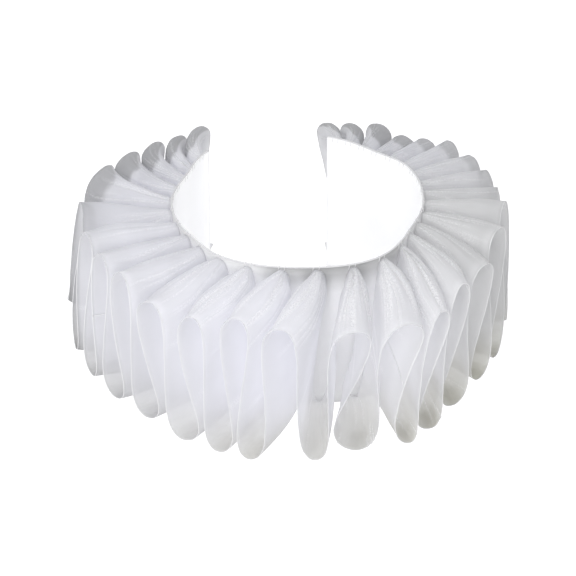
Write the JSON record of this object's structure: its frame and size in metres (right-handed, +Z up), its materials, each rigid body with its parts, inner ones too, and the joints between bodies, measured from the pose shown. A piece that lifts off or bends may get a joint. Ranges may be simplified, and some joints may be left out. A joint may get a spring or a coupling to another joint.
{
  "type": "ruff collar",
  "caption": "Pleated sheer ruff collar: a deep frill set in figure-eight folds round a tall neckband, open at the back, in its worn shape.",
  "frame": {"origin": "centre of the neck opening, at the height where the frill's crests are stitched to the neckband", "axes": "+Z up along the neck, -Y to the wearer's front, +X to the wearer's left; the opening at the back is on +Y"},
  "size_m": [0.2215, 0.1983, 0.0855],
  "materials": {
    "band_organza": "sheer organza",
    "frill_organza": "sheer organza"
  },
  "bodies": {
    "root": {"neckband": "band_organza", "frill_length_1": "frill_organza", "frill_length_2": "frill_organza", "frill_length_3": "frill_organza", "frill_length_4": "frill_organza"}
  },
  "joints": []
}
